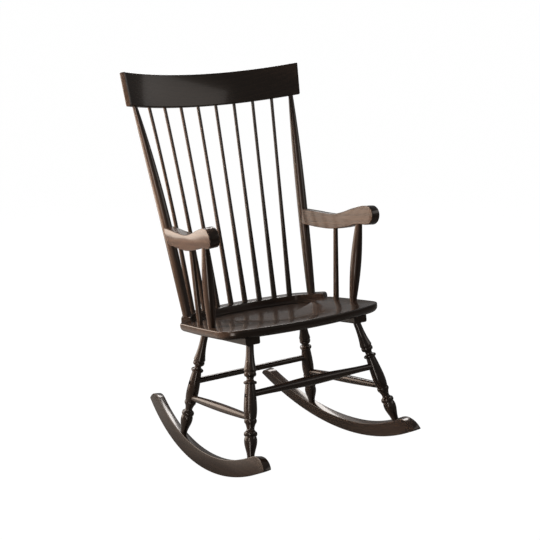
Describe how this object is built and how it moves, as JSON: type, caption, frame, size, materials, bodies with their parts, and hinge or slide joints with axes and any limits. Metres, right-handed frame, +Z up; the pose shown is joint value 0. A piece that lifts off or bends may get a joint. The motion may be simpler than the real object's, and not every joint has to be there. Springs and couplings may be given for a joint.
{
  "type": "rocking chair",
  "caption": "Wooden rocking chair: saddled seat, spindle back under a bent crest rail, scrolled arms, and turned legs and stretchers on curved rockers.",
  "frame": {"origin": "centre of the bounding box in plan, on the floor that the rockers rest on", "axes": "+Z up, -Y the way the sitter faces, +X to the sitter's left"},
  "size_m": [0.6128, 0.7818, 1.1007],
  "materials": {
    "stained_wood": "espresso stain, satin",
    "blackened_steel": "blackened, satin"
  },
  "bodies": {
    "root": {"seat": "stained_wood", "back_rail": "stained_wood", "crest_rail": "stained_wood", "back_spindle_1": "stained_wood", "back_spindle_2": "stained_wood", "back_spindle_3": "stained_wood", "back_spindle_4": "stained_wood", "back_spindle_5": "stained_wood", "back_spindle_6": "stained_wood", "back_spindle_7": "stained_wood", "back_spindle_8": "stained_wood", "leg_cleat_left": "stained_wood", "rocker_left": "stained_wood", "leg_front_left": "stained_wood", "leg_rear_left": "stained_wood", "stretcher_left": "stained_wood", "back_post_left": "stained_wood", "arm_left": "stained_wood", "arm_post_left": "stained_wood", "arm_spindle_left": "stained_wood", "leg_cleat_right": "stained_wood", "rocker_right": "stained_wood", "leg_front_right": "stained_wood", "leg_rear_right": "stained_wood", "stretcher_right": "stained_wood", "back_post_right": "stained_wood", "arm_right": "stained_wood", "arm_post_right": "stained_wood", "arm_spindle_right": "stained_wood", "stretcher_front": "stained_wood", "stretcher_rear": "stained_wood", "cleat_bolt_front_left": "blackened_steel", "cleat_bolt_rear_left": "blackened_steel", "arm_screw_left": "blackened_steel", "stretcher_bolt_front_left": "blackened_steel", "stretcher_bolt_rear_left": "blackened_steel", "cleat_bolt_front_right": "blackened_steel", "cleat_bolt_rear_right": "blackened_steel", "arm_screw_right": "blackened_steel", "stretcher_bolt_front_right": "blackened_steel", "stretcher_bolt_rear_right": "blackened_steel", "rail_screw_1": "blackened_steel", "rail_screw_2": "blackened_steel", "rail_screw_3": "blackened_steel"}
  },
  "joints": []
}
